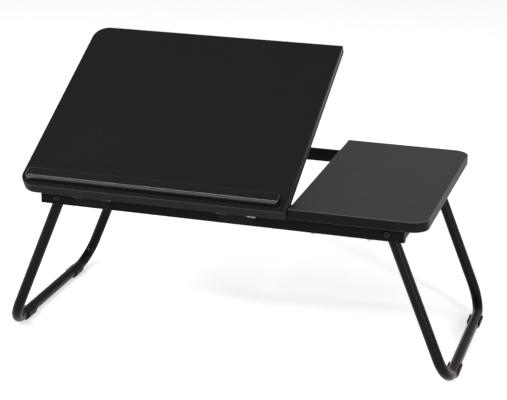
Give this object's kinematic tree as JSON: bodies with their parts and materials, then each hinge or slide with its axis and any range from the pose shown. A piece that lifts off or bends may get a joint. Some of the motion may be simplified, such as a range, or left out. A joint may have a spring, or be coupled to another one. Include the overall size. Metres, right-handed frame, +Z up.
{
  "type": "folding tray table",
  "caption": "Low folding bed or laptop table: tilting reading board with a book ledge beside a fixed side board, on a steel tube frame with folding U-shaped legs.",
  "frame": {"origin": "on the floor, midway between the four leg pivots, which is also the middle of the footprint", "axes": "+X along the tray towards the fixed side board, +Y from the user's edge to the back, +Z up"},
  "size_m": [0.6914, 0.3639, 0.4175],
  "materials": {
    "main_laminate": "black faux-leather grained laminate on wood-fibre board, satin, black edge band",
    "side_laminate": "charcoal laminate on wood-fibre board, satin, black edge band",
    "ledge_lacquer": "gloss black lacquered wood moulding",
    "black_paint": "black powder coat, semi-gloss, on welded steel tube",
    "black_plastic": "moulded black nylon",
    "black_bolt": "gloss black lacquered steel",
    "hinge_steel": "rolled steel with worn black paint",
    "zinc_plate": "zinc-plated pressed sheet",
    "zinc_screw": "bright zinc-plated steel",
    "stay_wire": "bright nickel-plated steel wire"
  },
  "bodies": {
    "frame": {"front_rail": "black_paint", "back_rail": "black_paint", "left_end_rail": "black_paint", "right_end_rail": "black_paint", "cross_rail": "black_paint", "rail_plugs": "black_plastic", "side_board": "side_laminate", "side_board_screws": "zinc_screw", "left_hinge_frame_leaf": "hinge_steel", "right_hinge_frame_leaf": "hinge_steel", "hinge_pins": "zinc_screw", "pivot_bolts": "black_bolt", "pivot_spacers": "zinc_screw", "pivot_washers": "zinc_screw", "pivot_nuts": "zinc_screw"},
    "reading_board": {"main_board": "main_laminate", "book_ledge": "ledge_lacquer", "ledge_screws": "zinc_screw", "left_hinge_board_leaf": "hinge_steel", "right_hinge_board_leaf": "hinge_steel", "hinge_screws": "zinc_screw", "left_tilt_rack": "zinc_plate", "right_tilt_rack": "zinc_plate", "rack_screws": "zinc_screw"},
    "stay": {"tilt_stay": "stay_wire"},
    "left_leg": {"left_leg": "black_paint", "left_leg_bushes": "black_plastic", "left_front_foot": "black_plastic", "left_back_foot": "black_plastic"},
    "right_leg": {"right_leg": "black_paint", "right_leg_bushes": "black_plastic", "right_front_foot": "black_plastic", "right_back_foot": "black_plastic"}
  },
  "joints": [
    {"name": "board_tilt", "type": "hinge", "parent": "frame", "child": "reading_board", "pos_m": [0, -0.1723, 0.2365], "axis": [1, 0, 0], "range_deg": [-28, 7]},
    {"name": "stay_swing", "type": "hinge", "parent": "frame", "child": "stay", "pos_m": [0, -0.10046, 0.23059], "axis": [1, 0, 0], "range_deg": [-56, 14]},
    {"name": "left_leg_fold", "type": "hinge", "parent": "frame", "child": "left_leg", "pos_m": [-0.245, 0, 0.2306], "axis": [0, -1, 0], "range_deg": [0, 108.25]},
    {"name": "right_leg_fold", "type": "hinge", "parent": "frame", "child": "right_leg", "pos_m": [0.245, 0, 0.2306], "axis": [0, 1, 0], "range_deg": [0, 104.75]}
  ],
  "couplings": [
    {"joint": "stay_swing", "follows": "board_tilt", "ratio": 2}
  ]
}
